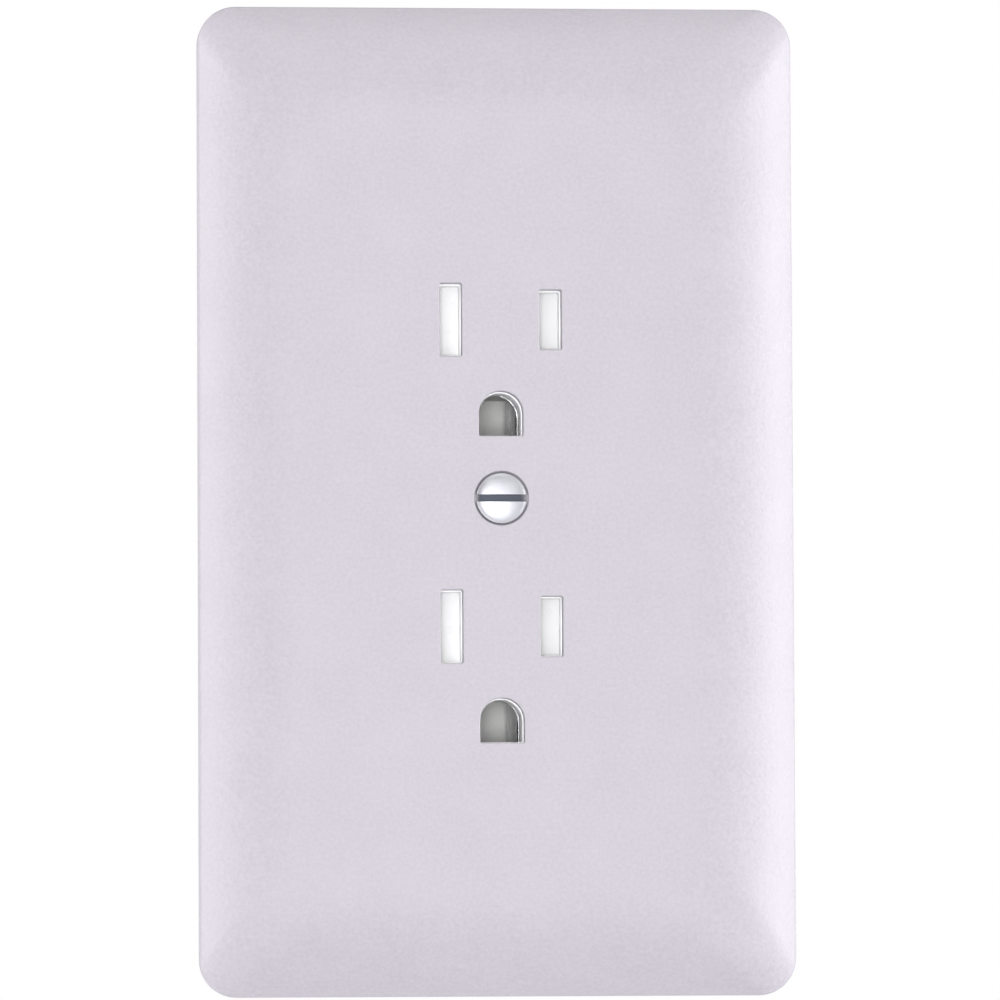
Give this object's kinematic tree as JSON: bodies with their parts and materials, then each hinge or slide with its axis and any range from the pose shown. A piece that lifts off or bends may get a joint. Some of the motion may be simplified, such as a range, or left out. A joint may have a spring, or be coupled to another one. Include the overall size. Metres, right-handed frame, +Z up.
{
  "type": "duplex wall outlet",
  "caption": "Crowned textured cover plate held by a slotted screw over a grounded duplex receptacle with sliding shutters, side terminals and a steel strap.",
  "frame": {"origin": "on the wall's surface, behind the middle of the cover plate and its screw", "axes": "+X to the right seen from the room, +Y into the wall, +Z up, so the front faces -Y"},
  "size_m": [0.076, 0.0347, 0.126],
  "materials": {
    "textured_plate": "fine orange-peel texture, satin",
    "white_plastic": "moulded, satin gloss",
    "back_plastic": "moulded, matt",
    "shutter_plastic": "moulded, smooth",
    "zinc_steel": "zinc plated",
    "nickel": "nickel plated",
    "brass": "pressed sheet",
    "green_steel": "green dyed plating",
    "spring_steel": "drawn wire",
    "fibre": "pressed fibre"
  },
  "bodies": {
    "device": {"back_housing": "back_plastic", "front_housing": "white_plastic", "ground_contact_bottom": "nickel", "ground_contact_top": "nickel", "ground_rivet_bottom": "nickel", "ground_rivet_top": "nickel", "grounding_clip": "brass", "hot_contact_strip": "brass", "housing_rivet_left_bottom": "nickel", "housing_rivet_left_top": "nickel", "housing_rivet_right_bottom": "nickel", "housing_rivet_right_top": "nickel", "mounting_strap": "zinc_steel", "neutral_contact_strip": "brass", "screw_retainer": "fibre", "shutter_spring_bottom": "spring_steel", "shutter_spring_top": "spring_steel", "shutter_tray_bottom": "shutter_plastic", "shutter_tray_top": "shutter_plastic", "wire_clamp_hot_bottom": "nickel", "wire_clamp_hot_top": "nickel", "wire_clamp_neutral_bottom": "nickel", "wire_clamp_neutral_top": "nickel"},
    "cover": {"wall_plate": "textured_plate"},
    "plate_screw": {"plate_screw": "zinc_steel"},
    "shutter_top": {"shutter_top": "shutter_plastic"},
    "shutter_bottom": {"shutter_bottom": "shutter_plastic"},
    "mounting_screw_top": {"mounting_screw_top": "zinc_steel"},
    "mounting_screw_bottom": {"mounting_screw_bottom": "zinc_steel"},
    "ground_screw": {"ground_screw": "green_steel"},
    "terminal_screw_hot_top": {"terminal_screw_hot_top": "brass"},
    "terminal_screw_hot_bottom": {"terminal_screw_hot_bottom": "brass"},
    "terminal_screw_neutral_top": {"terminal_screw_neutral_top": "nickel"},
    "terminal_screw_neutral_bottom": {"terminal_screw_neutral_bottom": "nickel"}
  },
  "joints": [
    {"name": "cover_slide", "type": "slide", "parent": "device", "child": "cover", "axis": [0, -1, 0], "range_m": [0, 0.04]},
    {"name": "plate_screw_turn", "type": "hinge", "parent": "cover", "child": "plate_screw", "pos_m": [0, -0.009, 0], "axis": [0, -1, 0], "continuous": true},
    {"name": "mounting_screw_top_turn", "type": "hinge", "parent": "device", "child": "mounting_screw_top", "pos_m": [0, -0.0012, 0.04167], "axis": [0, -1, 0], "continuous": true},
    {"name": "mounting_screw_bottom_turn", "type": "hinge", "parent": "device", "child": "mounting_screw_bottom", "pos_m": [0, -0.0012, -0.04167], "axis": [0, -1, 0], "continuous": true},
    {"name": "terminal_screw_hot_top_turn", "type": "hinge", "parent": "device", "child": "terminal_screw_hot_top", "pos_m": [0.01355, 0.011, 0.0095], "axis": [1, 0, 0], "continuous": true},
    {"name": "terminal_screw_hot_bottom_turn", "type": "hinge", "parent": "device", "child": "terminal_screw_hot_bottom", "pos_m": [0.01355, 0.011, -0.0095], "axis": [1, 0, 0], "continuous": true},
    {"name": "terminal_screw_neutral_top_turn", "type": "hinge", "parent": "device", "child": "terminal_screw_neutral_top", "pos_m": [-0.01355, 0.011, 0.0095], "axis": [-1, 0, 0], "continuous": true},
    {"name": "terminal_screw_neutral_bottom_turn", "type": "hinge", "parent": "device", "child": "terminal_screw_neutral_bottom", "pos_m": [-0.01355, 0.011, -0.0095], "axis": [-1, 0, 0], "continuous": true},
    {"name": "ground_screw_turn", "type": "hinge", "parent": "device", "child": "ground_screw", "pos_m": [-0.01275, 0.0056, -0.0396], "axis": [-1, 0, 0], "continuous": true},
    {"name": "shutter_top_slide", "type": "slide", "parent": "device", "child": "shutter_top", "axis": [1, 0, 0], "range_m": [0, 0.003], "stiffness_N_per_m": 100, "springref_m": -0.003, "deforming": ["shutter_spring_top"]},
    {"name": "shutter_bottom_slide", "type": "slide", "parent": "device", "child": "shutter_bottom", "axis": [1, 0, 0], "range_m": [0, 0.003], "stiffness_N_per_m": 100, "springref_m": -0.003, "deforming": ["shutter_spring_bottom"]}
  ]
}
